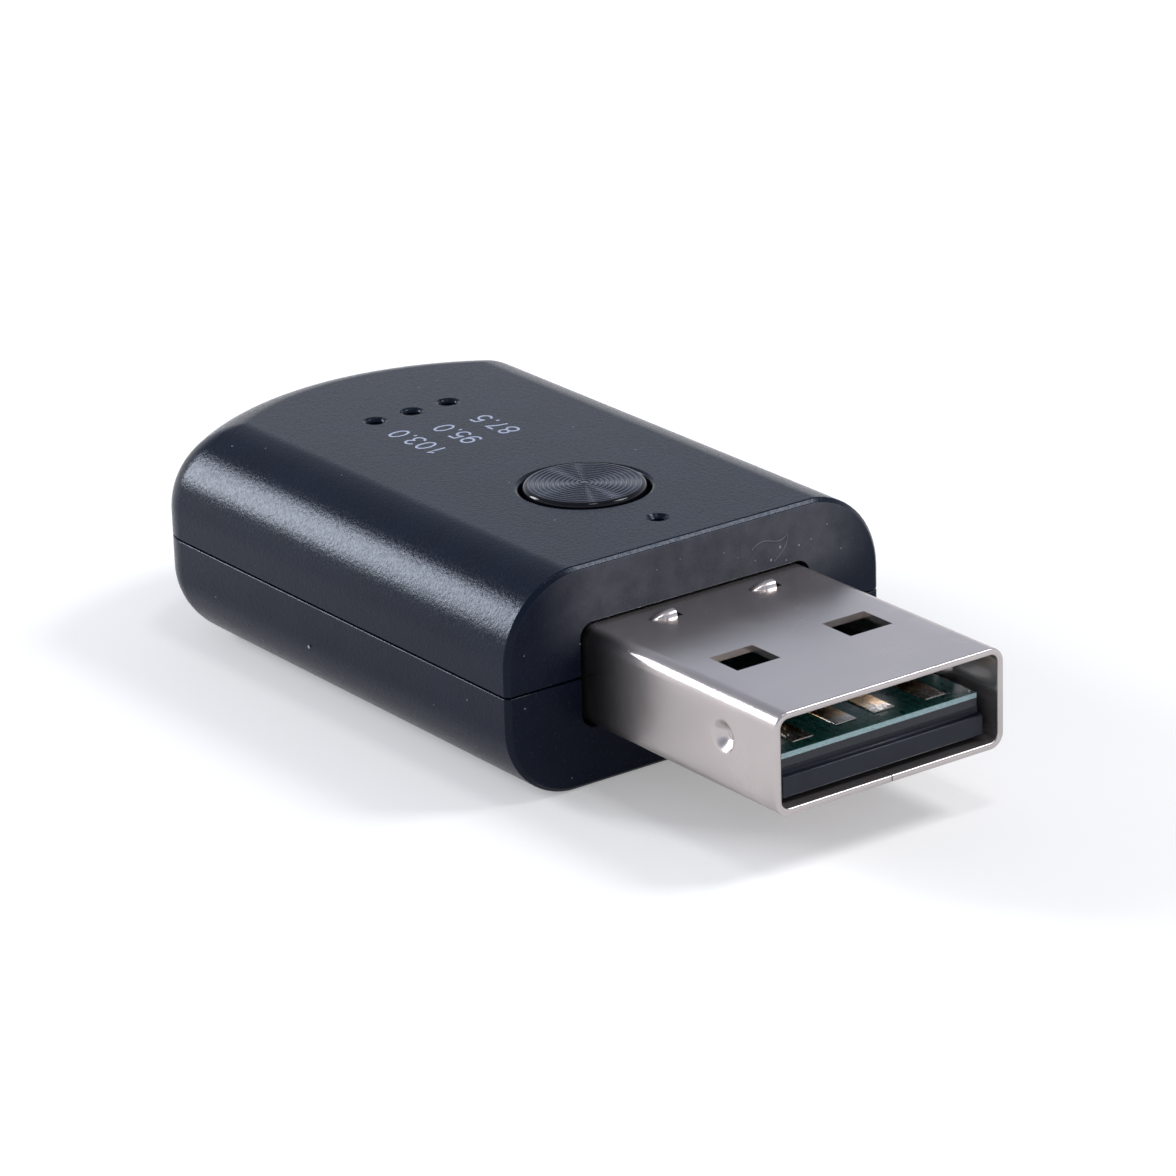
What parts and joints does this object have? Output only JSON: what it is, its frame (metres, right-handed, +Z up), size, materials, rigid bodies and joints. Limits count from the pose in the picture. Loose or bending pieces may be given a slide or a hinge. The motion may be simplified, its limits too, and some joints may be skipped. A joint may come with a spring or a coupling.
{
  "type": "car fm transmitter",
  "caption": "Rounded stick with a flat steel plug at one end and a round push button, indicator holes and a microphone hole on top, for sending sound to a car radio.",
  "frame": {"origin": "under the middle of the whole object, on the surface that its flat underside rests on", "axes": "+X along the plug, towards its mouth; +Z up, out of the face that carries the button; Y = 0 is the plane of symmetry"},
  "size_m": [0.0432, 0.02, 0.0102],
  "materials": {
    "housing_plastic": "matt blue-black, fine spark-eroded texture",
    "button_plastic": "black, rings turned into its face, polished rim",
    "plug_steel": "satin nickel plating on folded sheet",
    "insert_plastic": "black glass-filled moulding",
    "board_laminate": "green solder resist on glass-fibre laminate",
    "contact_gold": "gold plating",
    "switch_plastic": "black moulding",
    "switch_steel": "bright spring steel",
    "plunger_plastic": "natural moulding",
    "solder_tin": "tinned",
    "lamp_resin": "clear resin on a white base",
    "gasket_rubber": "black foam rubber",
    "chip_resin": "black moulded resin",
    "ferrite": "dark sintered ferrite",
    "copper_wire": "enamelled copper",
    "tantalum_resin": "yellow moulded resin",
    "ceramic": "sintered ceramic with tinned ends",
    "resistor_film": "black film on white ceramic"
  },
  "bodies": {
    "housing": {"top_shell": "housing_plastic", "bottom_shell": "housing_plastic", "usb_sleeve": "plug_steel", "plug_insert": "insert_plastic", "circuit_board": "board_laminate", "contact_power": "contact_gold", "contact_data_minus": "contact_gold", "contact_data_plus": "contact_gold", "contact_ground": "contact_gold", "switch_base": "switch_plastic", "switch_cover": "switch_steel", "switch_dome": "switch_steel", "switch_terminals": "solder_tin", "status_lamp_right": "lamp_resin", "status_lamp_middle": "lamp_resin", "status_lamp_left": "lamp_resin", "microphone": "switch_steel", "microphone_gasket": "gasket_rubber", "radio_chip": "chip_resin", "radio_chip_leads": "solder_tin", "crystal": "switch_steel", "voltage_regulator": "chip_resin", "inductor_core": "ferrite", "inductor_winding": "copper_wire", "bulk_capacitor": "tantalum_resin", "chip_antenna": "ceramic", "ceramic_capacitors": "ceramic", "resistors": "resistor_film"},
    "button": {"button_cap": "button_plastic", "switch_plunger": "plunger_plastic"}
  },
  "joints": [
    {"name": "button_press", "type": "slide", "parent": "housing", "child": "button", "axis": [0, 0, -1], "range_m": [0, 0.00025], "stiffness_N_per_m": 6400, "deforming": ["switch_dome"]}
  ]
}
